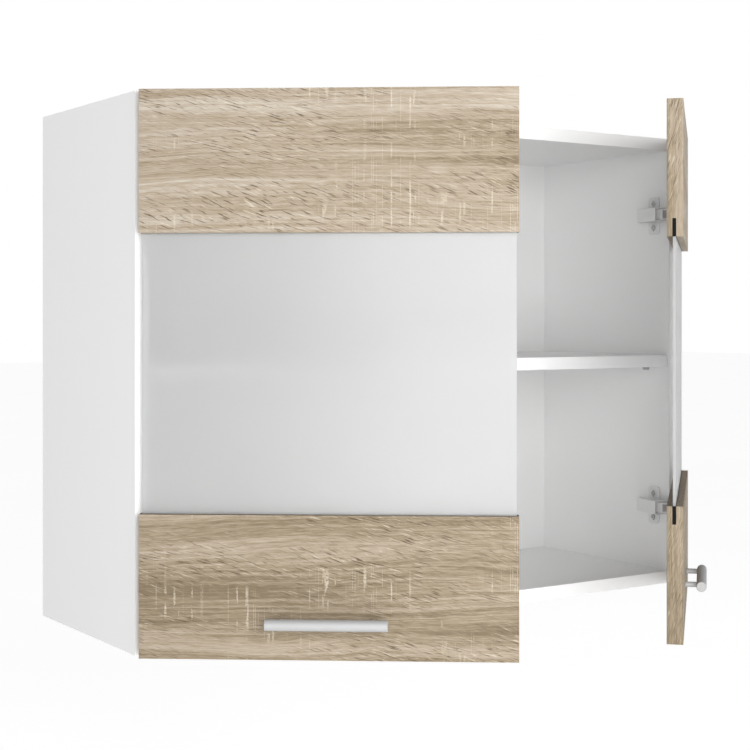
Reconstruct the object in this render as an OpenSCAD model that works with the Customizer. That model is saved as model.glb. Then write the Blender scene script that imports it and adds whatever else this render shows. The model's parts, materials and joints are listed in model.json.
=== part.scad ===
// Hanging wall cabinet with two framed-glass doors on concealed cup hinges.
// Frame: millimetres, +Z up, front towards -Y. The origin is the middle of the back,
// in the plane of the wall. The doors stand part open, as modelled.

/* [Cabinet] */
// Outer width over both side panels
cab_w = 800; // [700:10:1000]
// Outer height
cab_h = 600; // [560:10:720]
// Depth from the wall to the front edges of the panels
cab_d = 265; // [250:1:330]
// Thickness of the coated boards
board_t = 16; // [15:0.5:18]
// Thickness of the hardboard back
back_t = 3; // [2.5:0.5:4]
// How far the shelf stands back from the front edges
shelf_setback = 4; // [2:1:20]

/* [Doors] */
// Thickness of the door boards
door_t = 18; // [18:0.5:20]
// Gap between a closed door and the carcass
door_gap = 2; // [2:0.5:2.5]
// Margin between a door and the outline of the cabinet
reveal = 0.5; // [0.5:0.5:2]
// Height of the wooden band above and below the glass
band_h = 151.5; // [148:0.5:165]
// Thickness of the frosted glass
glass_t = 3.2; // [3:0.1:3.4]
// How far the left door stands open
left_angle = 37.2; // [0:0.2:95]
// How far the right door stands open
right_angle = 44; // [0:0.2:95]

/* [Handles] */
// Length of a handle bar
bar_len = 128; // [120:2:160]
// Diameter of a handle bar
bar_d = 12; // [10:0.5:14]
// Distance between the two posts of a handle
post_pitch = 96; // [64:32:96]
// Diameter of a handle post
post_d = 6.5; // [6:0.5:8]
// Free finger space behind a handle bar
finger_gap = 13; // [12:1:25]
// Height of the bar's axis above the lower edge of the door
bar_height = 40.5; // [30:0.5:60]

/* [Hinges] */
// Distance of a hinge centre from the top or bottom of the cabinet
hinge_inset = 102.5; // [95:0.5:105]
// Depth of the hinge cup
cup_depth = 11.5; // [11.5:0.5:12]

/* [Hidden] */
$fn = 48;
EPS = 0.01;
SLIP = 0.05;          // radial running clearance of every pivot
SNUG = 0.1;           // radial room around a fastener in a board
HOLE_END = 0.5;       // room at the end of a blind hole

// Concealed hinge, seen from above with the door closed. X runs inwards from the outer
// face of the side panel, and Y runs back from the front edge of the side panel.
LONG_ARM_PIN = [36, 12];      // long link's pin in the arm
LONG_CUP_PIN = [9.3, -3.8];   // long link's pin in the cup
SHORT_ARM_PIN = [22, -3];     // short link's pin in the arm
SHORT_CUP_PIN = [9.5, -6.5];  // short link's pin in the cup, the open pivot
LONG_TURN = 0.325;            // degrees the long link turns for each degree of the door
SHORT_TURN = 0.608;           // degrees the short link turns for each degree of the door
LONG_PATH = [LONG_CUP_PIN, [10.4, -7.2], [15.5, -9], [23.5, -8.4], [27.5, -3], LONG_ARM_PIN];
SHORT_PATH = [SHORT_CUP_PIN, [11.2, -10.6], [16, -11.5], [21, -9.4], SHORT_ARM_PIN];
PIN_R = 0.9;
EYE_R = 1.6;                  // outside of a closed link eye
LOOSE_EYE_R = 2.1;            // outside of the open pivot's eye
LOOSE_HOLE_R = 1.4;           // hole of the open pivot's eye
STRAP_T = 1.3;                // thickness of the link straps
SHORT_Z = 3.2;                // half width of the short link
RIB_Z = [3.5, 5];             // ribs in the cup
LONG_Z = [5.3, 6.9];          // side straps of the long link
WALL_Z = [7.6, 8.8];          // side walls of the arm
cup_d = 35;                   // diameter of the hinge cup
CUP_X = reveal + 3 + cup_d / 2;
CUP_WALL = 1.2;
CUP_FLOOR = 0.6;
FLANGE_T = 0.8;
FLANGE_R = 19;
CUP_SCREW = [9.5, 22.5];      // offset of a cup screw from the cup's centre
CUP_SCREW_R = 1.6;
CUP_SCREW_HEAD = [3.1, 1.4];
CUP_SCREW_LEN = 11;
CUP_EAR_R = 5.5;              // round ends of the flange
RIB_X = 12.4;                 // where the ribs in the cup end
CUP_PIN_END = 10.7;           // outer ends of the long link's two stubs
PLATE_SCREW_HEAD = [3.3, 1.6];
HANDLE_SCREW_R = 2;
HANDLE_SCREW_HEAD = [4, 2.2];
HANDLE_SCREW_GRIP = 10;       // how far a handle screw enters its post
CROSS_W = 0.8;                // width of a screw's cross recess
PLATE_SETBACK = 28;           // screw line of a mounting plate behind the front edge
PLATE_PITCH = 32;             // distance between the two screws of a mounting plate
PLATE_T = 2;
BLOCK_T = 5;                  // thickness of the plate's raised block
ARM_BACK = 48;                // rear end of the arm behind the front edge
ARM_FRONT = 3;                // front end of the arm's plain face
ARM_FLOOR_X = 21.2;           // the arm's floor lies on the plate's block
ARM_SHEET = 1.2;
RIVET_Y = [30, 41];           // the two rivets that hold the arm's floor on the block
RIVET_R = 1.9;
RIVET_HEAD = [2.8, 1];        // radius and thickness

inner_x = cab_w / 2 - board_t;
inner_z = cab_h / 2 - board_t;
door_w = cab_w / 2 - 2 * reveal;
door_h = cab_h - 2 * reveal;
glass_z = door_h / 2 - band_h;
hinge_z = cab_h / 2 - hinge_inset;
bar_z = bar_height - door_h / 2;
bar_x = reveal + door_w / 2;
bar_y = -door_gap - door_t - finger_gap - bar_d / 2;

groove_t = 4.2;               // width of the glass groove
groove_depth = 20;
groove_back = 6.1;            // board left behind the groove
gasket_end = 2;               // closed end of a gasket
glass_bite = 18.5;            // how far the glass enters a band
groove_y = -door_gap - groove_back - groove_t;
glass_y = groove_y + groove_t / 2;

shelf_t = board_t;
pin_hole_r = 2.5;
pin_len = 8;
shelf_pin_z = -shelf_t / 2 - pin_hole_r - SLIP;
shelf_pin_y = [-cab_d + shelf_setback + 37, -41];

cam_y = [-cab_d + 40, -43];
dowel_y = [-cab_d + 65, -68];
cam_x = inner_x - 24;
cam_r = 7.5;
cam_h = 12;
bolt_r = 2.5;
bolt_in = 10.5;               // how far a cam bolt enters the side panel
bolt_collar = [3.4, 1.2];     // radius and length of its collar
bolt_shank_end = 15;          // where its shank ends and its neck starts, past the panel
bolt_neck_r = 1.5;
bolt_head = [2.8, 3];         // radius and length of its head
bolt_head_at = 22;
bolt_room = 3.6;              // radius of its hole in a horizontal panel
dowel_r = 4;
dowel_in = 9;                 // how far a dowel enters the side panel
dowel_len = 28;
joint_z = inner_z + board_t / 2;

nail_r = 0.6;
nail_len = 14;
nail_head_r = 1.6;
nail_head_t = 0.8;
nail_x = [for (i = [-2.5:1:2.5]) i * (cab_w - 160) / 5];
nail_z = [for (i = [-1.5:1:1.5]) i * (cab_h - 160) / 3];

hang_w = board_t - 1;         // hanging plate, X
hang_h = 50;                  // hanging plate, Z
hang_t = 1.5;
hang_z = cab_h / 2 - 64;      // lower edge of a hanging plate
key_x = -cab_w / 2 + board_t / 2;
key_z = hang_z + 16;
key_r = 4.5;
key_slot = 5;
key_rise = 14;
key_pocket = [10.5, 11, 25];  // room for a wall screw's head in the side panel
hang_screw_z = [hang_z + 5, hang_z + hang_h - 5];
hang_screw_in = 14;           // how far its screws enter the side panel
hang_screw_head = [3.4, 1.3];
wood_screw_r = 1.75;
plate_screw_in = 11;          // how far a mounting plate's screws enter the side panel

WHITE = "white";
OAK = "burlywood";
STEEL = "silver";
BLACK = "dimgray";

// ---- Placing -------------------------------------------------------------------------

// Mirrors to the right-hand side of the cabinet.
module flip_x(on) {
    if (on) mirror([1, 0, 0]) children();
    else children();
}

// Mirrors to the lower half of the cabinet.
module flip_z(on) {
    if (on) mirror([0, 0, 1]) children();
    else children();
}

// Moves children from the hinge frame of the left side to a side of the cabinet.
module at_side(right) {
    flip_x(right) translate([-cab_w / 2, -cab_d, 0]) children();
}

// Turns children about an upright axis through a point.
module turn_about(point, angle) {
    translate([point[0], point[1], 0])
        rotate([0, 0, angle])
            translate([-point[0], -point[1], 0]) children();
}

function open_angle(right) = right ? right_angle : left_angle;

// Carries children of a long link from the closed door to the open one.
module with_long_link(right) {
    at_side(right)
        turn_about(LONG_ARM_PIN, LONG_TURN * open_angle(right)) children();
}

// Carries children of a short link.
module with_short_link(right) {
    at_side(right)
        turn_about(SHORT_ARM_PIN, SHORT_TURN * open_angle(right)) children();
}

// Carries children of a door: it turns on the cup pin of the long link.
module with_door(right) {
    with_long_link(right)
        turn_about(LONG_CUP_PIN, -(1 + LONG_TURN) * open_angle(right)) children();
}

// Places children at the upper and the lower hinge.
module at_both_hinges() {
    for (up = [-1, 1]) translate([0, 0, up * hinge_z]) children();
}

// A box from its lowest to its highest corner.
module block(low, high) {
    translate(low) cube(high - low);
}

// A cylinder from a point along +X, +Y or +Z.
module rod_x(p, r, len) {
    translate(p) rotate([0, 90, 0]) cylinder(r = r, h = len);
}

module rod_y(p, r, len) {
    translate(p) rotate([-90, 0, 0]) cylinder(r = r, h = len);
}

module rod_z(p, r, len) {
    translate(p) cylinder(r = r, h = len);
}

// ---- Carcass -------------------------------------------------------------------------

// Shelf pin holes or pins in the left side panel.
module shelf_pin_rods(r, depth, out) {
    for (y = shelf_pin_y)
        rod_x([-inner_x - depth, y, shelf_pin_z], r, depth + out);
}

// Nails of the back panel: shanks with an extra radius and length.
module nail_shanks(grow) {
    len = nail_len + grow;
    for (z = [-joint_z, joint_z], x = nail_x) rod_y([x, -len, z], nail_r + grow, len);
    for (x = [-inner_x - board_t / 2, inner_x + board_t / 2], z = nail_z)
        rod_y([x, -len, z], nail_r + grow, len);
}

module nail_heads(grow) {
    len = nail_head_t + grow;
    for (z = [-joint_z, joint_z], x = nail_x) rod_y([x, -len, z], nail_head_r + grow, len);
    for (x = [-inner_x - board_t / 2, inner_x + board_t / 2], z = nail_z)
        rod_y([x, -len, z], nail_head_r + grow, len);
}

// Screw holes and head pocket of the left hanging plate.
module hanging_holes() {
    for (z = hang_screw_z)
        rod_y([key_x, -back_t - hang_screw_in - HOLE_END, z], wood_screw_r + SNUG,
              hang_screw_in + 2);
    translate([key_x - key_pocket[0] / 2, -back_t - key_pocket[1], key_z - 6])
        cube([key_pocket[0], key_pocket[1] + 1, key_pocket[2]]);
}

// Holes of the joint fasteners in the left side panel, at the top.
module side_joint_holes() {
    for (y = cam_y)
        rod_x([-inner_x - bolt_in - HOLE_END, y, joint_z], bolt_r + SNUG, bolt_in + HOLE_END + 1);
    for (y = dowel_y)
        rod_x([-inner_x - dowel_in - HOLE_END, y, joint_z], dowel_r + SNUG,
              dowel_in + HOLE_END + 1);
}

// Holes in the left end of the top panel.
module end_joint_holes() {
    for (y = cam_y) {
        rod_x([-inner_x - 1, y, joint_z], bolt_room, inner_x - cam_x + 1);
        rod_z([-cam_x, y, cab_h / 2 - cam_h - 0.5], cam_r + SNUG, cam_h + 1);
    }
    for (y = dowel_y)
        rod_x([-inner_x - 1, y, joint_z], dowel_r + SNUG, dowel_len - dowel_in + HOLE_END + 1);
}

module side_panel(right) {
    flip_x(right) difference() {
        block([-cab_w / 2, -cab_d, -cab_h / 2], [-inner_x, -back_t, cab_h / 2]);
        for (down = [false, true]) flip_z(down) side_joint_holes();
        shelf_pin_rods(pin_hole_r + SNUG, pin_len + SNUG, 1);
        for (z = [-hinge_z, hinge_z], dz = [-PLATE_PITCH / 2, PLATE_PITCH / 2])
            rod_x([-inner_x - plate_screw_in - HOLE_END, PLATE_SETBACK - cab_d, z + dz],
                  wood_screw_r + SNUG, plate_screw_in + HOLE_END + 1);
        nail_shanks(SNUG);
        hanging_holes();
    }
}

module top_or_bottom_panel(down) {
    flip_z(down) difference() {
        block([-inner_x, -cab_d, inner_z], [inner_x, -back_t, cab_h / 2]);
        for (right = [false, true]) flip_x(right) end_joint_holes();
        nail_shanks(SNUG);
    }
}

module back_panel() {
    color(WHITE) difference() {
        block([-cab_w / 2 + 1, -back_t, -cab_h / 2 + 1], [cab_w / 2 - 1, 0, cab_h / 2 - 1]);
        nail_shanks(SNUG);
        nail_heads(SNUG);
        for (right = [false, true]) flip_x(right)
            block([-cab_w / 2, -back_t - 1, hang_z - 1], [-inner_x, 1, hang_z + hang_h + 1]);
    }
}

module shelf() {
    color(WHITE)
        block([-inner_x + 0.5, shelf_setback - cab_d, -shelf_t / 2],
              [inner_x - 0.5, -back_t - 1, shelf_t / 2]);
}

module shelf_pins() {
    color(STEEL) for (right = [false, true]) flip_x(right) {
        shelf_pin_rods(pin_hole_r, pin_len, pin_len);
        for (y = shelf_pin_y) rod_x([-inner_x, y, shelf_pin_z], pin_hole_r - SLIP, 1);
    }
}

// ---- Carcass fasteners ---------------------------------------------------------------

module at_corners() {
    for (right = [false, true], down = [false, true]) flip_x(right) flip_z(down) children();
}

// Cam disc in the top panel's left end: a recessed cross on top, a bolt passage inside.
module cam_disc(y) {
    difference() {
        rod_z([-cam_x, y, cab_h / 2 - cam_h - 0.4], cam_r, cam_h);
        rod_x([-inner_x - 1, y, joint_z], 3.5, inner_x - cam_x + 3.5);
        for (a = [0, 90])
            translate([-cam_x, y, cab_h / 2])
                rotate([0, 0, a + 45]) cube([7.5, 1.4, 5], center = true);
    }
}

module cam_discs() {
    color(STEEL) at_corners() for (y = cam_y) cam_disc(y);
}

// Cam bolt: thread in the side panel, collar, shank, neck and head in the cam.
module cam_bolt(y) {
    rod_x([-inner_x - bolt_in, y, joint_z], bolt_r, bolt_in + bolt_shank_end);
    rod_x([-inner_x, y, joint_z], bolt_collar[0], bolt_collar[1]);
    rod_x([-inner_x + bolt_shank_end, y, joint_z], bolt_neck_r,
          bolt_head_at - bolt_shank_end);
    rod_x([-inner_x + bolt_head_at, y, joint_z], bolt_head[0], bolt_head[1]);
}

module cam_bolts() {
    color(STEEL) at_corners() for (y = cam_y) cam_bolt(y);
}

module wood_dowels() {
    color(OAK) at_corners()
        for (y = dowel_y) rod_x([-inner_x - dowel_in, y, joint_z], dowel_r, dowel_len);
}

module back_panel_nails() {
    color(STEEL) {
        nail_shanks(0);
        nail_heads(0);
    }
}

// ---- Hanging plates ------------------------------------------------------------------

module hanging_plate(right) {
    color(STEEL) flip_x(right) difference() {
        block([key_x - hang_w / 2, -back_t, hang_z],
              [key_x + hang_w / 2, hang_t - back_t, hang_z + hang_h]);
        rod_y([key_x, -back_t - 1, key_z], key_r, 5);
        block([key_x - key_slot / 2, -back_t - 1, key_z],
              [key_x + key_slot / 2, 1, key_z + key_rise]);
        rod_y([key_x, -back_t - 1, key_z + key_rise], key_slot / 2, 5);
        for (z = hang_screw_z) rod_y([key_x, -back_t - 1, z], wood_screw_r + SNUG, 5);
    }
}

module hanging_plate_screws() {
    color(STEEL) for (right = [false, true]) flip_x(right) for (z = hang_screw_z) {
        rod_y([key_x, -back_t - hang_screw_in, z], wood_screw_r, hang_screw_in + hang_t);
        difference() {
            rod_y([key_x, hang_t - back_t, z], hang_screw_head[0], hang_screw_head[1]);
            for (a = [0, 90])
                translate([key_x, 0, z]) rotate([0, a, 0])
                    cube([hang_screw_head[0], 2, CROSS_W], center = true);
        }
    }
}

// ---- Hinge parts that stay on the cabinet ----------------------------------------------

// Mounting plate: rounded at its corners, with slotted holes and a raised block for the arm.
module mounting_plate_shape() {
    half_w = 10.25;
    half_h = 25.5;
    corner_r = 5;
    slot_r = 2.1;
    slot_half = 2.4;
    block_half_h = 6;
    block_y = [16, ARM_BACK - 3];
    through = [board_t - 1, BLOCK_T + 2];
    difference() {
        union() {
            for (dz = [-1, 1], dy = [-1, 1])
                rod_x([board_t, PLATE_SETBACK + dy * (half_w - corner_r),
                       dz * (half_h - corner_r)], corner_r, PLATE_T);
            block([board_t, PLATE_SETBACK - half_w, corner_r - half_h],
                  [board_t + PLATE_T, PLATE_SETBACK + half_w, half_h - corner_r]);
            block([board_t, PLATE_SETBACK - half_w + corner_r, -half_h],
                  [board_t + PLATE_T, PLATE_SETBACK + half_w - corner_r, half_h]);
            block([board_t, block_y[0], -block_half_h],
                  [board_t + BLOCK_T, block_y[1], block_half_h]);
        }
        for (dz = [-1, 1], s = [-slot_half, slot_half])
            rod_x([through[0], PLATE_SETBACK, dz * PLATE_PITCH / 2 + s], slot_r, through[1]);
        for (dz = [-1, 1])
            translate([through[0], PLATE_SETBACK - slot_r, dz * PLATE_PITCH / 2 - slot_half])
                cube([through[1], 2 * slot_r, 2 * slot_half]);
        for (y = RIVET_Y) rod_x([through[0], y, 0], RIVET_R + SNUG, through[1]);
    }
}

module hinge_plate(right, up) {
    color(STEEL) at_side(right) translate([0, 0, up * hinge_z]) mounting_plate_shape();
}

// A cross-recessed screw along -X. Its head, a radius and a thickness, has its back at x.
module plate_screw(x, y, z, head, shank_r, len) {
    difference() {
        union() {
            rod_x([x - len, y, z], shank_r, len + EPS);
            rod_x([x, y, z], head[0], head[1]);
        }
        for (a = [0, 90])
            translate([x + head[1], y, z]) rotate([a, 0, 0])
                cube([head[1], CROSS_W, 1.2 * head[0]], center = true);
    }
}

module hinge_plate_screws() {
    color(STEEL) for (right = [false, true]) at_side(right) at_both_hinges()
        for (dz = [-1, 1])
            plate_screw(board_t + PLATE_T, PLATE_SETBACK, dz * PLATE_PITCH / 2, PLATE_SCREW_HEAD,
                        wood_screw_r, plate_screw_in + PLATE_T);
}

// Side wall of the arm, seen from above.
module arm_outline() {
    polygon([[ARM_FLOOR_X, ARM_BACK], [29.5, ARM_BACK], [39.4, 13.5], [39.4, ARM_FRONT],
             [38, ARM_FRONT - 1], [23.8, -3.6], [22, -4.9], [20.2, -4], [19.9, -1], [19.9, 8],
             [ARM_FLOOR_X, 14]]);
}

// The arm: two side walls, a plain face, a rear end and a floor that is riveted down.
module arm_shape() {
    difference() {
        union() {
            for (s = [-1, 1])
                translate([0, 0, s > 0 ? WALL_Z[0] : -WALL_Z[1]])
                    linear_extrude(height = WALL_Z[1] - WALL_Z[0]) arm_outline();
            translate([0, 0, -WALL_Z[1]])
                linear_extrude(height = 2 * WALL_Z[1])
                    polygon([[29.5 - ARM_SHEET, ARM_BACK], [29.5, ARM_BACK], [39.4, 13.5],
                             [39.4, ARM_FRONT], [38.4, ARM_FRONT], [38.4, 12.8]]);
            block([ARM_FLOOR_X, ARM_BACK - ARM_SHEET, -WALL_Z[1]],
                  [29.2, ARM_BACK, WALL_Z[1]]);
            block([ARM_FLOOR_X, 24, -WALL_Z[1]],
                  [ARM_FLOOR_X + ARM_SHEET, ARM_BACK - ARM_SHEET / 2, WALL_Z[1]]);
        }
        for (p = [LONG_ARM_PIN, SHORT_ARM_PIN])
            rod_z([p[0], p[1], -20], PIN_R + SLIP, 40);
        for (y = RIVET_Y) rod_x([ARM_FLOOR_X - 1, y, 0], RIVET_R + SNUG, 3);
    }
}

module hinge_arm(right, up) {
    color(STEEL) at_side(right) translate([0, 0, up * hinge_z]) arm_shape();
}

// Rivets through the arm's floor and the mounting plate's block.
module hinge_arm_rivets() {
    back = board_t + 0.5;
    seat = ARM_FLOOR_X + ARM_SHEET;
    color(STEEL) for (right = [false, true]) at_side(right) at_both_hinges()
        for (y = RIVET_Y) {
            rod_x([back, y, 0], RIVET_R, seat - back);
            rod_x([seat, y, 0], RIVET_HEAD[0], RIVET_HEAD[1]);
        }
}

module hinge_arm_pins() {
    color(STEEL) for (right = [false, true]) at_side(right) at_both_hinges()
        for (p = [LONG_ARM_PIN, SHORT_ARM_PIN])
            rod_z([p[0], p[1], -WALL_Z[1]], PIN_R, 2 * WALL_Z[1]);
}

// Closing spring wound on the long link's arm pin: touching coils, as one solid.
module spring_shape() {
    wire_r = 0.5;
    coil_r = PIN_R + 0.1 + wire_r;
    pitch = 0.9;
    translate([LONG_ARM_PIN[0], LONG_ARM_PIN[1], 0])
        rotate_extrude() for (i = [-4:4]) translate([coil_r, i * pitch]) circle(r = wire_r);
}

module hinge_springs() {
    color(STEEL) for (right = [false, true]) at_side(right) at_both_hinges() spring_shape();
}

// ---- Links ---------------------------------------------------------------------------

// Unit vector across the path's segment i.
function across(path, i) =
    let (d = path[i + 1] - path[i]) [-d[1], d[0]] / norm(d);

// Corner of the strap's outline beside path point i, mitred at a bend.
function corner(path, i, off) =
    let (last = len(path) - 1,
         before = across(path, max(i - 1, 0)),
         after = across(path, min(i, last - 1)),
         mid = (before + after) / norm(before + after))
    path[i] + mid * off / (mid * after);

// A bent strap along a path, seen from above.
module strap(path, half_t) {
    last = len(path) - 1;
    polygon(concat([for (i = [0:last]) corner(path, i, half_t)],
                   [for (i = [last:-1:0]) corner(path, i, -half_t)]));
}

// Long link: two side straps on the arm pin and on the cup pins, joined by a plate.
module long_link_shape() {
    bridge_z = (LONG_Z[0] + LONG_Z[1]) / 2;
    bridge_from = LONG_PATH[4] + (LONG_PATH[5] - LONG_PATH[4]) * 0.06;
    bridge_to = LONG_PATH[4] + (LONG_PATH[5] - LONG_PATH[4]) * 0.78;
    difference() {
        union() {
            for (s = [-1, 1])
                translate([0, 0, s > 0 ? LONG_Z[0] : -LONG_Z[1]])
                    linear_extrude(height = LONG_Z[1] - LONG_Z[0]) {
                        strap(LONG_PATH, STRAP_T / 2);
                        translate(LONG_CUP_PIN) circle(r = EYE_R);
                        translate(LONG_ARM_PIN) circle(r = EYE_R);
                    }
            translate([0, 0, -bridge_z]) linear_extrude(height = 2 * bridge_z)
                strap([bridge_from, bridge_to], STRAP_T / 2 - 0.05);
        }
        for (p = [LONG_CUP_PIN, LONG_ARM_PIN]) rod_z([p[0], p[1], -20], PIN_R + SLIP, 40);
    }
}

// Short link: one wide strap. Its eye on the cup pin is the open, loose pivot.
module short_link_shape() {
    difference() {
        union() {
            translate([0, 0, -SHORT_Z]) linear_extrude(height = 2 * SHORT_Z)
                strap(SHORT_PATH, STRAP_T / 2);
            rod_z([SHORT_CUP_PIN[0], SHORT_CUP_PIN[1], -SHORT_Z], LOOSE_EYE_R, 2 * SHORT_Z);
            rod_z([SHORT_ARM_PIN[0], SHORT_ARM_PIN[1], -SHORT_Z], EYE_R, 2 * SHORT_Z);
        }
        rod_z([SHORT_ARM_PIN[0], SHORT_ARM_PIN[1], -20], PIN_R + SLIP, 40);
        rod_z([SHORT_CUP_PIN[0], SHORT_CUP_PIN[1], -20], LOOSE_HOLE_R, 40);
    }
}

module long_link(right, up) {
    color(STEEL) with_long_link(right) translate([0, 0, up * hinge_z]) long_link_shape();
}

module short_link(right, up) {
    color(STEEL) with_short_link(right) translate([0, 0, up * hinge_z]) short_link_shape();
}

// ---- Doors ---------------------------------------------------------------------------

// One wooden band of a closed left door, with its groove and all its holes.
module door_band(down) {
    far_x = reveal + door_w;
    difference() {
        flip_z(down) difference() {
            block([reveal, -door_gap - door_t, glass_z], [far_x, -door_gap, door_h / 2]);
            block([reveal - 1, groove_y, glass_z - 1],
                  [far_x + 1, groove_y + groove_t, glass_z + groove_depth]);
            rod_y([CUP_X, -door_gap - cup_depth - SNUG, hinge_z], cup_d / 2 + SNUG, 20);
            for (dz = [-1, 1])
                rod_y([CUP_X + CUP_SCREW[0], -door_gap - CUP_SCREW_LEN - HOLE_END,
                       hinge_z + dz * CUP_SCREW[1]], CUP_SCREW_R + SNUG, 20);
        }
        if (down) for (s = [-1, 1])
            rod_y([bar_x + s * post_pitch / 2, -door_gap - door_t - 1, bar_z],
                  HANDLE_SCREW_R + 2 * SNUG, door_t + 2);
    }
}

module door_glass() {
    block([reveal + gasket_end + SNUG, glass_y - glass_t / 2, -glass_z - glass_bite],
          [reveal + door_w - gasket_end - SNUG, glass_y + glass_t / 2, glass_z + glass_bite]);
}

// Glazing gasket: a channel that fills the groove, with closed ends.
module door_gasket(down) {
    far_x = reveal + door_w;
    flip_z(down) difference() {
        block([reveal, groove_y, glass_z], [far_x, groove_y + groove_t, glass_z + groove_depth]);
        block([reveal + gasket_end, glass_y - glass_t / 2 - EPS, glass_z - 1],
              [far_x - gasket_end, glass_y + glass_t / 2 + EPS, glass_z + glass_bite + EPS]);
    }
}

// Hinge cup: pressed bowl with a flange, and two ribs that hold the pins.
module cup_shape() {
    pocket_r = cup_d / 2 - CUP_WALL;
    stub_hole = CUP_PIN_END + SNUG;
    difference() {
        union() {
            difference() {
                union() {
                    rod_y([CUP_X, -door_gap - cup_depth, 0], cup_d / 2, cup_depth);
                    intersection() {
                        union() {
                            rod_y([CUP_X, -door_gap, 0], FLANGE_R, FLANGE_T);
                            for (dz = [-1, 1])
                                rod_y([CUP_X + CUP_SCREW[0], -door_gap, dz * CUP_SCREW[1]],
                                      CUP_EAR_R, FLANGE_T);
                            block([CUP_X + 4, -door_gap, -CUP_SCREW[1]],
                                  [CUP_X + CUP_SCREW[0] + CUP_EAR_R, FLANGE_T - door_gap,
                                   CUP_SCREW[1]]);
                        }
                        block([reveal + 3, -door_gap - 1, -40], [80, 1, 40]);
                    }
                }
                rod_y([CUP_X, -door_gap - cup_depth + CUP_FLOOR, 0], pocket_r, cup_depth + 5);
                for (dz = [-1, 1])
                    rod_y([CUP_X + CUP_SCREW[0], -door_gap - 1, dz * CUP_SCREW[1]],
                          CUP_SCREW_R + 3 * SNUG, 4);
            }
            intersection() {
                rod_y([CUP_X, -door_gap - cup_depth, 0], cup_d / 2 - 0.2, cup_depth);
                for (s = [-1, 1])
                    translate([0, 0, s > 0 ? RIB_Z[0] : -RIB_Z[1]])
                        block([reveal, -door_gap - cup_depth, 0],
                              [RIB_X, -door_gap, RIB_Z[1] - RIB_Z[0]]);
            }
        }
        rod_z([SHORT_CUP_PIN[0], SHORT_CUP_PIN[1], -RIB_Z[1] - EPS], PIN_R + SLIP,
              2 * (RIB_Z[1] + EPS));
        for (s = [-1, 1])
            rod_z([LONG_CUP_PIN[0], LONG_CUP_PIN[1], s > 0 ? RIB_Z[0] - EPS : -stub_hole],
                  PIN_R + SLIP, stub_hole - RIB_Z[0] + EPS);
    }
}

module hinge_cup(right, up) {
    color(STEEL) with_door(right) translate([0, 0, up * hinge_z]) cup_shape();
}

// Cup pins: one through both ribs for the short link, two stubs for the long link.
module cup_pins(right) {
    color(STEEL) with_door(right) at_both_hinges() {
        rod_z([SHORT_CUP_PIN[0], SHORT_CUP_PIN[1], -RIB_Z[1]], PIN_R, 2 * RIB_Z[1]);
        for (s = [-1, 1])
            rod_z([LONG_CUP_PIN[0], LONG_CUP_PIN[1], s > 0 ? RIB_Z[0] : -CUP_PIN_END],
                  PIN_R, CUP_PIN_END - RIB_Z[0]);
    }
}

// Wood screws of the cups, driven along -Y from the back of the door.
module cup_screws(right) {
    color(STEEL) with_door(right) at_both_hinges() for (dz = [-1, 1])
        translate([CUP_X + CUP_SCREW[0], FLANGE_T - door_gap, dz * CUP_SCREW[1]])
            rotate([0, 0, 90]) plate_screw(0, 0, 0, CUP_SCREW_HEAD, CUP_SCREW_R, CUP_SCREW_LEN);
}

module door_board(right, down) {
    color(OAK) with_door(right) door_band(down);
}

module glass(right) {
    color("lightgray", 0.6) with_door(right) door_glass();
}

module gasket(right, down) {
    color(BLACK) with_door(right) door_gasket(down);
}

// ---- Handles -------------------------------------------------------------------------

// Bar with a fine chamfer at both ends and two sockets for the posts.
module handle_bar(right) {
    chamfer = 0.6;
    r = bar_d / 2;
    color(STEEL) with_door(right) difference() {
        translate([bar_x - bar_len / 2, bar_y, bar_z]) rotate([0, 90, 0]) rotate_extrude()
            polygon([[0, 0], [r - chamfer, 0], [r, chamfer], [r, bar_len - chamfer],
                     [r - chamfer, bar_len], [0, bar_len]]);
        for (s = [-1, 1])
            rod_y([bar_x + s * post_pitch / 2, bar_y, bar_z], post_d / 2 + SLIP, 20);
    }
}

module handle_posts(right) {
    reach = finger_gap + bar_d / 2 - SNUG;
    color(STEEL) with_door(right) for (s = [-1, 1]) difference() {
        rod_y([bar_x + s * post_pitch / 2, -door_gap - door_t - reach, bar_z], post_d / 2, reach);
        rod_y([bar_x + s * post_pitch / 2, -door_gap - door_t - HANDLE_SCREW_GRIP - 2, bar_z],
              HANDLE_SCREW_R + SLIP, 20);
    }
}

module handle_screws(right) {
    color(STEEL) with_door(right) for (s = [-1, 1])
        translate([bar_x + s * post_pitch / 2, -door_gap, bar_z])
            rotate([0, 0, 90])
                plate_screw(0, 0, 0, HANDLE_SCREW_HEAD, HANDLE_SCREW_R,
                            door_t + HANDLE_SCREW_GRIP);
}

// ---- Nodes ---------------------------------------------------------------------------

color(WHITE) side_panel(false);  // left_side_panel
color(WHITE) side_panel(true);  // right_side_panel
color(WHITE) top_or_bottom_panel(false);  // top_panel
color(WHITE) top_or_bottom_panel(true);  // bottom_panel
back_panel();
shelf();
shelf_pins();
cam_discs();
cam_bolts();
wood_dowels();
back_panel_nails();
hanging_plate(false);  // left_hanging_plate
hanging_plate(true);  // right_hanging_plate
hanging_plate_screws();
hinge_plate(false, 1);  // left_upper_hinge_plate
hinge_plate(false, -1);  // left_lower_hinge_plate
hinge_plate(true, 1);  // right_upper_hinge_plate
hinge_plate(true, -1);  // right_lower_hinge_plate
hinge_plate_screws();
hinge_arm(false, 1);  // left_upper_hinge_arm
hinge_arm(false, -1);  // left_lower_hinge_arm
hinge_arm(true, 1);  // right_upper_hinge_arm
hinge_arm(true, -1);  // right_lower_hinge_arm
hinge_arm_rivets();
hinge_arm_pins();
hinge_springs();
long_link(false, 1);  // left_upper_long_link
long_link(false, -1);  // left_lower_long_link
long_link(true, 1);  // right_upper_long_link
long_link(true, -1);  // right_lower_long_link
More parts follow.
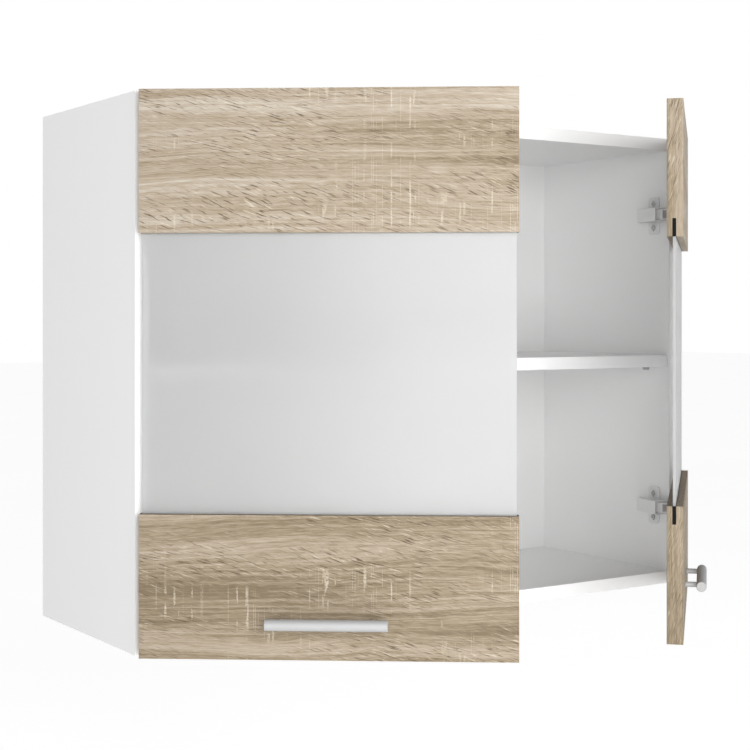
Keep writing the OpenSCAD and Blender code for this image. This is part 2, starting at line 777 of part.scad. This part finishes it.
short_link(false, 1);  // left_upper_short_link
short_link(false, -1);  // left_lower_short_link
short_link(true, 1);  // right_upper_short_link
short_link(true, -1);  // right_lower_short_link
door_board(false, false);  // left_door_upper_panel
door_board(false, true);  // left_door_lower_panel
glass(false);  // left_door_glass
gasket(false, false);  // left_door_upper_gasket
gasket(false, true);  // left_door_lower_gasket
hinge_cup(false, 1);  // left_upper_hinge_cup
hinge_cup(false, -1);  // left_lower_hinge_cup
cup_screws(false);  // left_cup_screws
cup_pins(false);  // left_cup_pins
handle_bar(false);  // left_handle_bar
handle_posts(false);  // left_handle_posts
handle_screws(false);  // left_handle_screws
door_board(true, false);  // right_door_upper_panel
door_board(true, true);  // right_door_lower_panel
glass(true);  // right_door_glass
gasket(true, false);  // right_door_upper_gasket
gasket(true, true);  // right_door_lower_gasket
hinge_cup(true, 1);  // right_upper_hinge_cup
hinge_cup(true, -1);  // right_lower_hinge_cup
cup_screws(true);  // right_cup_screws
cup_pins(true);  // right_cup_pins
handle_bar(true);  // right_handle_bar
handle_posts(true);  // right_handle_posts
handle_screws(true);  // right_handle_screws
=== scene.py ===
"""Looks of the hanging wall cabinet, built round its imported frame. Lengths are in metres."""

import json
import math

import bmesh
import bpy
from mathutils import Matrix, Vector


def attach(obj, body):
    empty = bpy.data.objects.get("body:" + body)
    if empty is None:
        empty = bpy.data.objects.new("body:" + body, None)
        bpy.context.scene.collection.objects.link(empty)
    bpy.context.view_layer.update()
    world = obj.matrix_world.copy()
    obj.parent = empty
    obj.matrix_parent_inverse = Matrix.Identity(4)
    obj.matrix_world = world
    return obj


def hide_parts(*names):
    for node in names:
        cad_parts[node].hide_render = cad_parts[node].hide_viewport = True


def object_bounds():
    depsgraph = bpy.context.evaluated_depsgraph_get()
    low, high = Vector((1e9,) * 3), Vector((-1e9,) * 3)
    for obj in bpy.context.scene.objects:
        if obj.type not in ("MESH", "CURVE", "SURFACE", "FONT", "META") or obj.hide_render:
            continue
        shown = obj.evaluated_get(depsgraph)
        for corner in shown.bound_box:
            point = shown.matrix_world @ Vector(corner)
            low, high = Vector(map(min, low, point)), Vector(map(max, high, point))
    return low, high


BOARD_EDGE = 0.0005        # rounding of a coated board's edges
OAK_EDGE = 0.0006
METAL_EDGE = 0.00025
FINE_EDGE = 0.00012        # rounding of small screws and of the gaskets
FLAT_WITHIN = 0.8          # degrees: facets that bend less than this are one flat face
SHARP_FROM = 40            # degrees: edges that bend more than this get rounded
FACING = 0.9               # how far a face's normal has to point along an axis to face that way

LOWER_BOARD_DARKER = 0.06  # how much darker in tone the boards below the glass are
END_DARKER = 0.03          # how much darker in tone the bands on a board's ends are
BAND_WAVE = 0.15           # how wavy the grain of the bands is, against 1 on the faces
PORE_SLANT = -17           # degrees between the pores and the grain
TO_END_BAND = 3.1          # steps through the noise from a face to its bands
TO_RIM_BAND = 5.3

CAMERA_AT = (-1.08339, -1.75210, 0.06055)
CAMERA_YAW = 34.3976       # degrees to the right of straight ahead; the camera is level
CAMERA_LENS = 72.943
CAMERA_SHIFT = (-0.02708, -0.07852)
FLOOR_BELOW = 0.65         # how far the floor lies under the cabinet
FLOOR_HALF = 30.0
FLOOR_GLOW = 0.65          # far out the floor glows until it is as pale as the background
GLOW_FROM, GLOW_FULL = 1.0, 1.6    # the distances between which the glow sets in
SKY_OVERHEAD = 0.3         # brightness overhead, against 1 at eye level
SKY_FULL, SKY_DIM = 0.22, 0.40     # sines of the heights between which the sky gets dimmer

# name, place, target, size and power of each soft light
LIGHTS = [
    ("far_panel", (-1.1, -3.6, 0.9), (0, -0.2, 0), 2.5, 24),
    ("near_panel", (-0.6, -1.9, 0.05), (0.2, -0.1, 0), 1.2, 25),
]


# ---- Node helpers --------------------------------------------------------------------------


class Paint:
    """A new material and short calls that add nodes to it."""

    def __init__(self, name):
        self.material = bpy.data.materials.new(name)
        self.material.use_nodes = True
        self.tree = self.material.node_tree
        self.shader = self.tree.nodes["Principled BSDF"]
        self.place = self.tree.nodes.new("ShaderNodeTexCoord").outputs["Object"]

    def node(self, kind, inputs=None, **settings):
        made = self.tree.nodes.new("ShaderNode" + kind)
        for key, value in settings.items():
            setattr(made, key, value)
        for key, value in (inputs or {}).items():
            self.give(made.inputs[key], value)
        return made

    def give(self, socket, value):
        if isinstance(value, bpy.types.NodeSocket):
            self.tree.links.new(value, socket)
        else:
            socket.default_value = value

    def stretched(self, scale, offset=(0, 0, 0), place=None):
        """The place with each axis multiplied by scale."""
        mapping = self.node("Mapping", {"Vector": place or self.place})
        mapping.inputs["Scale"].default_value = scale
        mapping.inputs["Location"].default_value = offset
        return mapping.outputs["Vector"]

    def noise(self, scale, detail=2.0, rough=0.5, offset=(0, 0, 0), place=None, warp=0.0):
        made = self.node("TexNoise", {
            "Vector": self.stretched(scale, offset, place),
            "Scale": 1.0, "Detail": detail, "Roughness": rough, "Distortion": warp})
        return made.outputs["Fac"]

    def math(self, operation, a, b=0.0, clamp=False):
        made = self.node("Math", {0: a, 1: b}, operation=operation)
        made.use_clamp = clamp
        return made.outputs[0]

    def between(self, value, low, high, to_low=0.0, to_high=1.0):
        made = self.node("MapRange", {
            "Value": value, "From Min": low, "From Max": high,
            "To Min": to_low, "To Max": to_high})
        return made.outputs["Result"]

    def ramp(self, value, stops):
        made = self.node("ValToRGB", {"Fac": value})
        elements = made.color_ramp.elements
        while len(elements) < len(stops):
            elements.new(0.5)
        for element, (at, colour) in zip(elements, stops):
            element.position = at
            element.color = (*colour, 1.0)
        return made.outputs["Color"]

    def blend(self, share, a, b, mode="MIX"):
        made = self.node("Mix", data_type="RGBA", blend_type=mode)
        self.give(made.inputs[0], share)
        self.give(made.inputs[6], a if isinstance(a, bpy.types.NodeSocket) else (*a, 1.0))
        self.give(made.inputs[7], b if isinstance(b, bpy.types.NodeSocket) else (*b, 1.0))
        return made.outputs[2]

    def bump(self, height, distance, strength=1.0):
        made = self.node("Bump", {"Height": height, "Distance": distance, "Strength": strength})
        self.tree.links.new(made.outputs["Normal"], self.shader.inputs["Normal"])

    def set(self, **values):
        for key, value in values.items():
            self.give(self.shader.inputs[key.replace("_", " ")], value)
        return self.material


def linear(grey_or_rgb):
    """Linear colour of an sRGB one given from 0 to 255."""
    rgb = grey_or_rgb if isinstance(grey_or_rgb, tuple) else (grey_or_rgb,) * 3
    out = []
    for c in rgb:
        s = c / 255
        out.append(s / 12.92 if s <= 0.04045 else ((s + 0.055) / 1.055) ** 2.4)
    return tuple(out)


# ---- Materials -----------------------------------------------------------------------------

OAK_TONES = [(0.38, (108, 94, 73)), (0.44, (132, 118, 97)), (0.50, (149, 136, 118)),
             (0.55, (160, 149, 134)), (0.61, (173, 165, 152))]
PORE_DARK = (78, 62, 43)
PORE_RIM = (194, 185, 168)
SAW_MARK = (202, 193, 175)


def white_coating(name, shade, rough, grain):
    """Melamine: nearly even white with a fine pressed texture."""
    p = Paint(name)
    cloud = p.noise((3, 3, 3), 3)
    colour = p.blend(cloud, linear(shade - 2), linear(shade + 1))
    pressed = p.noise((900, 900, 900), 3, 0.6)
    p.bump(pressed, grain, 0.5)
    roughness = p.between(p.noise((60, 60, 60), 2), 0.3, 0.7, rough - 0.03, rough + 0.04)
    return p.set(Base_Color=colour, Roughness=roughness, Specular_IOR_Level=0.4)


def oak(name, along, across, seed, wave=1.0, darker=0.0):
    """Light sawn oak decor whose grain runs along one axis, with its lines across another."""
    p = Paint(name)
    axes = p.node("SeparateXYZ", {"Vector": p.place}).outputs
    shift = p.math("ADD", axes[along], seed)

    # slow waves push the grain sideways
    raw = p.node("CombineXYZ", {"X": shift, "Z": axes[across]}).outputs["Vector"]
    slow = p.between(p.noise((1.9, 1, 7), 2, 0.5, place=raw), 0, 1, -0.028 * wave, 0.028 * wave)
    quick = p.between(p.noise((30, 1, 90), 2, 0.5, place=raw), 0, 1, -0.0016 * wave, 0.0016 * wave)
    side = p.math("ADD", axes[across], p.math("ADD", slow, quick))
    flow = p.node("CombineXYZ", {"X": shift, "Z": side}).outputs["Vector"]

    bands = p.noise((1.3, 1, 30), 3, 0.55, place=flow)
    streaks = p.noise((3.5, 1, 260), 4, 0.68, place=flow)
    fibres = p.noise((48, 1, 820), 3, 0.7, place=flow)
    tone = p.math("ADD", p.math("MULTIPLY", bands, 0.36), p.math("MULTIPLY", streaks, 0.34))
    tone = p.math("ADD", tone, p.math("MULTIPLY", fibres, 0.30))
    lower = p.between(axes["Z"], -0.02, 0.02, -LOWER_BOARD_DARKER - darker, -darker)
    tone = p.math("ADD", tone, lower)
    wood = p.ramp(tone, [(at, linear(colour)) for at, colour in OAK_TONES])

    # fine dark pores with a pale rim, lying a little askew
    askew = p.node("Mapping", {"Vector": flow})
    askew.inputs["Rotation"].default_value = (0, math.radians(PORE_SLANT), 0)
    pores = p.noise((50, 1, 700), 2, 0.6, place=askew.outputs["Vector"])
    where = p.between(p.noise((6, 1, 22), 2, 0.5, place=raw, offset=(3, 0, 5)), 0.36, 0.60)
    pore = p.math("MULTIPLY", p.between(pores, 0.43, 0.36), where)
    wood = p.blend(p.math("MULTIPLY", pore, 0.9), wood, linear(PORE_DARK))
    rim = p.math("MULTIPLY", p.between(pores, 0.60, 0.68), where)
    wood = p.blend(p.math("MULTIPLY", rim, 0.6), wood, linear(PORE_RIM))

    # saw marks: thin pale strokes straight across the grain, in loose groups
    group = p.between(p.noise((6, 1, 15), 2, 0.5, place=raw, offset=(7, 0, 3)), 0.51, 0.60)
    line = p.math("ABSOLUTE", p.math("SUBTRACT", p.noise((105, 1, 0), 1, 0.4, place=raw), 0.5))
    length = p.between(p.noise((160, 1, 45), 1, 0.4, place=raw, offset=(1, 0, 9)), 0.46, 0.52)
    worn = p.between(p.noise((500, 1, 500), 2, 0.5, place=raw), 0.36, 0.52)
    mark = p.math("MULTIPLY", p.math("MULTIPLY", group, p.between(line, 0.011, 0.003)),
                  p.math("MULTIPLY", length, worn))
    on_faces = 0.5 if across == "Z" else 0.0
    wood = p.blend(p.math("MULTIPLY", mark, on_faces), wood, linear(SAW_MARK))

    height = p.math("ADD", p.math("MULTIPLY", streaks, 0.5), p.math("MULTIPLY", pores, 0.5))
    p.bump(height, 0.0004, 0.35)
    roughness = p.between(streaks, 0.3, 0.7, 0.52, 0.66)
    return p.set(Base_Color=wood, Roughness=roughness, Specular_IOR_Level=0.3)


def frosted_glass():
    p = Paint("frosted_glass")
    etched = p.noise((1800, 1800, 1800), 2, 0.5)
    p.bump(etched, 0.00002, 0.3)
    cloud = p.noise((12, 12, 12), 2)
    return p.set(Base_Color=p.blend(cloud, (0.67, 0.675, 0.675), (0.69, 0.695, 0.69)),
                 Roughness=p.between(cloud, 0.3, 0.7, 0.38, 0.42), IOR=1.45,
                 Transmission_Weight=0.68, Specular_IOR_Level=0.2)


def metal(name, shade, rough, grain_scale, metallic=1.0):
    """Brushed or plated metal. grain_scale stretches the brush marks."""
    p = Paint(name)
    brushed = p.noise(grain_scale, 3, 0.6)
    colour = p.blend(brushed, linear(shade - 9), linear(shade + 6))
    p.bump(brushed, 0.00002, 0.4)
    roughness = p.between(brushed, 0.3, 0.7, rough - 0.05, rough + 0.07)
    return p.set(Base_Color=colour, Roughness=roughness, Metallic=metallic)


def rubber():
    p = Paint("black_gasket")
    worn = p.noise((300, 300, 300), 3)
    p.bump(worn, 0.00005, 0.5)
    colour = p.blend(worn, linear(12), linear(20))
    return p.set(Base_Color=colour, Roughness=p.between(worn, 0.3, 0.7, 0.8, 0.9),
                 Specular_IOR_Level=0.15)


def beech():
    p = Paint("beech_dowel")
    grain = p.noise((30, 400, 400), 3)
    colour = p.blend(grain, linear((205, 172, 128)), linear((226, 196, 154)))
    return p.set(Base_Color=colour, Roughness=p.between(grain, 0.3, 0.7, 0.6, 0.75))


def oak_set(name, seed):
    """A door's oak: its faces, then the bands on its ends and on its upper and lower edges."""
    return [
        oak(name, "X", "Z", seed),
        oak(name + "_end_band", "Z", "Y", seed + TO_END_BAND, BAND_WAVE, END_DARKER),
        oak(name + "_rim_band", "X", "Y", seed + TO_RIM_BAND, BAND_WAVE)]


# painted shade: the same white coating a shade darker, laid on the side panels' outer faces to stand in for the
# lesser light falling on them
OUTER_WHITE_PAINTED_SHADE = white_coating("white_board_outside_painted_shade", 230, 0.42, 0.00002)
OAK = {"left": oak_set("left_oak", 0.0), "right": oak_set("right_oak", 7.7)}
MATERIALS = {
    "white_board": white_coating("white_board", 242, 0.42, 0.00002),
    "white_hardboard": white_coating("white_hardboard", 243, 0.5, 0.00004),
    "oak_board": OAK["left"][0],
    "beech_dowel": beech(),
    "frosted_glass": frosted_glass(),
    "black_gasket": rubber(),
    "satin_handle": metal("satin_handle", 168, 0.55, (60, 1500, 1500), 0.15),
    "nickel_hinge": metal("nickel_hinge", 232, 0.55, (500, 500, 500), 0.2),
    "zinc_cam": metal("zinc_cam", 180, 0.42, (400, 400, 400)),
    "zinc_plate": metal("zinc_plate", 196, 0.38, (90, 90, 700)),
    "zinc_fastener": metal("zinc_fastener", 186, 0.35, (600, 600, 600)),
}


# ---- Meshes --------------------------------------------------------------------------------


def clean_copy(node, into):
    """The CAD node's mesh in the local frame `into`, welded and with its flat faces whole."""
    work = bmesh.new()
    work.from_mesh(node.data)
    bmesh.ops.transform(work, matrix=into.inverted(), verts=work.verts)
    bmesh.ops.remove_doubles(work, verts=work.verts, dist=1e-6)
    bmesh.ops.dissolve_limit(work, angle_limit=math.radians(FLAT_WITHIN), verts=work.verts,
                             edges=work.edges)
    return work


def rebuilt(node, name, slot, width, into=Matrix.Identity(4), segments=2):
    """A piece that stands for a CAD node, with its edges rounded."""
    work = clean_copy(node, into)
    mesh = bpy.data.meshes.new(name)
    work.to_mesh(mesh)
    work.free()
    mesh.materials.append(MATERIALS[slot])
    piece = bpy.data.objects.new(name, mesh)
    bpy.context.scene.collection.objects.link(piece)
    piece.matrix_world = into
    for face in mesh.polygons:
        face.use_smooth = True
    bevel = piece.modifiers.new("edges", "BEVEL")
    bevel.width = width
    bevel.segments = segments
    bevel.limit_method = "ANGLE"
    bevel.angle_limit = math.radians(SHARP_FROM)
    bevel.use_clamp_overlap = True
    bevel.harden_normals = True
    smooth = piece.modifiers.new("normals", "WEIGHTED_NORMAL")
    smooth.keep_sharp = True
    return piece


def lay_oak(piece, side):
    """Gives a board its door's oak, with the grain turned on its ends and its other edges."""
    piece.data.materials.clear()
    for material in OAK[side]:
        piece.data.materials.append(material)
    for face in piece.data.polygons:
        if abs(face.normal.x) > FACING:
            face.material_index = 1
        elif abs(face.normal.z) > FACING:
            face.material_index = 2


def paint_outside_shade(piece):
    """Gives a side panel's outer face a shade less white than the inside: painted shade for the lesser light on
    the outer face, the coating being the same on both sides.
    """
    piece.data.materials.append(OUTER_WHITE_PAINTED_SHADE)
    outwards = math.copysign(1, sum(corner[0] for corner in piece.bound_box))
    for face in piece.data.polygons:
        if face.normal.x * outwards > FACING:
            face.material_index = 1


def adopt(piece, node):
    """Puts a finished piece on its node's body, in its place."""
    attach(piece, body_of_node[node])
    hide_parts(node)


def open_angle(side):
    """How far a door stands open, in radians: it is closed at its swing's lower limit."""
    swing = next(j for j in frame["joints"] if j["name"] == side + "_door_swing")
    couplings = frame["record"]["behaviour"]["couplings"]
    share = next(c["ratio"] for c in couplings if c["joint"] == side + "_long_link_pivot")
    return math.radians(-swing["range_deg"][0]) * (1 - share)


def door_frame(side):
    """The door's own frame: X along its width, Z up, at the middle of its glass."""
    glass = frame["nodes"][side + "_door_glass"]
    sign = -1 if side == "left" else 1
    turn = Matrix.Rotation(sign * open_angle(side), 4, "Z")
    middle = sum((v.co for v in glass.data.vertices), Vector()) / len(glass.data.vertices)
    return Matrix.Translation(middle) @ turn


# ---- Scene ---------------------------------------------------------------------------------


def add_camera():
    data = bpy.data.cameras.new("camera")
    camera = bpy.data.objects.new("camera", data)
    bpy.context.scene.collection.objects.link(camera)
    camera.location = CAMERA_AT
    camera.rotation_euler = (math.radians(90), 0, math.radians(-CAMERA_YAW))
    data.lens = CAMERA_LENS
    data.shift_x, data.shift_y = CAMERA_SHIFT
    data.clip_start, data.clip_end = 0.01, 100
    bpy.context.scene.camera = camera


def add_light(name, at, towards, size, power):
    data = bpy.data.lights.new(name, "AREA")
    data.size = size
    data.energy = power
    light = bpy.data.objects.new(name, data)
    bpy.context.scene.collection.objects.link(light)
    light.location = at
    light.visible_camera = False
    light.rotation_euler = (Vector(towards) - Vector(at)).to_track_quat("-Z", "Y").to_euler()


def add_sky():
    """White all round at eye level, dimmer overhead so that the light comes from the front."""
    world = bpy.data.worlds.new("studio")
    bpy.context.scene.world = world
    world.use_nodes = True
    tree = world.node_tree
    sky = tree.nodes["Background"]
    sky.inputs["Color"].default_value = (1, 1, 1, 1)
    place = tree.nodes.new("ShaderNodeTexCoord")
    split = tree.nodes.new("ShaderNodeSeparateXYZ")
    falloff = tree.nodes.new("ShaderNodeMapRange")
    for key, value in {"From Min": SKY_FULL, "From Max": SKY_DIM, "To Min": 1.0,
                       "To Max": SKY_OVERHEAD}.items():
        falloff.inputs[key].default_value = value
    tree.links.new(place.outputs["Generated"], split.inputs["Vector"])
    tree.links.new(split.outputs["Z"], falloff.inputs["Value"])
    tree.links.new(falloff.outputs["Result"], sky.inputs["Strength"])


def add_floor(lowest):
    half = FLOOR_HALF
    z = lowest - FLOOR_BELOW
    mesh = bpy.data.meshes.new("floor")
    mesh.from_pydata([(-half, -half, z), (half, -half, z), (half, half, z), (-half, half, z)],
                     [], [(0, 1, 2, 3)])
    floor = bpy.data.objects.new("floor", mesh)
    bpy.context.scene.collection.objects.link(floor)
    p = Paint("floor")
    cloud = p.noise((1.2, 1.2, 1.2), 3)
    pale = p.blend(cloud, (0.93, 0.93, 0.93), (0.96, 0.96, 0.96))
    reach = p.node("VectorMath", {0: p.place}, operation="LENGTH").outputs["Value"]
    p.set(Base_Color=pale, Roughness=0.8, Specular_IOR_Level=0.0, Emission_Color=pale,
          Emission_Strength=p.between(reach, GLOW_FROM, GLOW_FULL, 0.0, FLOOR_GLOW))
    mesh.materials.append(p.material)


# ---- The object ----------------------------------------------------------------------------

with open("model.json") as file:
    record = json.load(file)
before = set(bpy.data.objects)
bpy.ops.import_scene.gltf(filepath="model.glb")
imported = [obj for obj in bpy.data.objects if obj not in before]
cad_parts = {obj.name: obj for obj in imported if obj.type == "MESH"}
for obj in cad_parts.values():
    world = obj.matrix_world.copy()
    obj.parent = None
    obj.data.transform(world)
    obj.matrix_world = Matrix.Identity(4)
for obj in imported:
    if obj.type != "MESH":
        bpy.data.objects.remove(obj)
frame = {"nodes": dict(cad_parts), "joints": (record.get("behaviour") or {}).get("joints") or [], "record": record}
cad_low, cad_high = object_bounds()
behaviour = frame["record"]["behaviour"]
body_of_node = {n: body for body, members in behaviour["bodies"].items() for n in members}
slot_of = {row["node"]: row["material_slot"] for row in frame["record"]["subparts"]}
local = {side: door_frame(side) for side in ("left", "right")}

EDGE_OF_SLOT = {
    "white_board": BOARD_EDGE, "white_hardboard": BOARD_EDGE, "oak_board": OAK_EDGE,
    "frosted_glass": METAL_EDGE, "black_gasket": FINE_EDGE, "satin_handle": METAL_EDGE,
    "nickel_hinge": METAL_EDGE, "zinc_plate": METAL_EDGE, "zinc_fastener": FINE_EDGE,
}
KEPT_AS_THEY_ARE = {"wood_dowels", "cam_bolts", "back_panel_nails", "cam_discs"}
SIDE_PANELS = {"left_side_panel", "right_side_panel"}

for node_name, node in frame["nodes"].items():
    slot = slot_of[node_name]
    if node_name in KEPT_AS_THEY_ARE:
        node.data.materials.clear()
        node.data.materials.append(MATERIALS[slot])
        continue
    body = body_of_node[node_name]
    side = "left" if body == "left_door" else "right"
    into = local[side] if body.endswith("_door") else Matrix.Identity(4)
    piece = rebuilt(node, node_name + ".look", slot, EDGE_OF_SLOT[slot], into)
    if slot == "oak_board":
        lay_oak(piece, side)
    if node_name in SIDE_PANELS:
        # the side panels' outer faces get the painted shade
        paint_outside_shade(piece)
    adopt(piece, node_name)

add_camera()
for light in LIGHTS:
    add_light(*light)
add_sky()
add_floor(cad_low.z)
bpy.context.scene.view_settings.view_transform = "Standard"
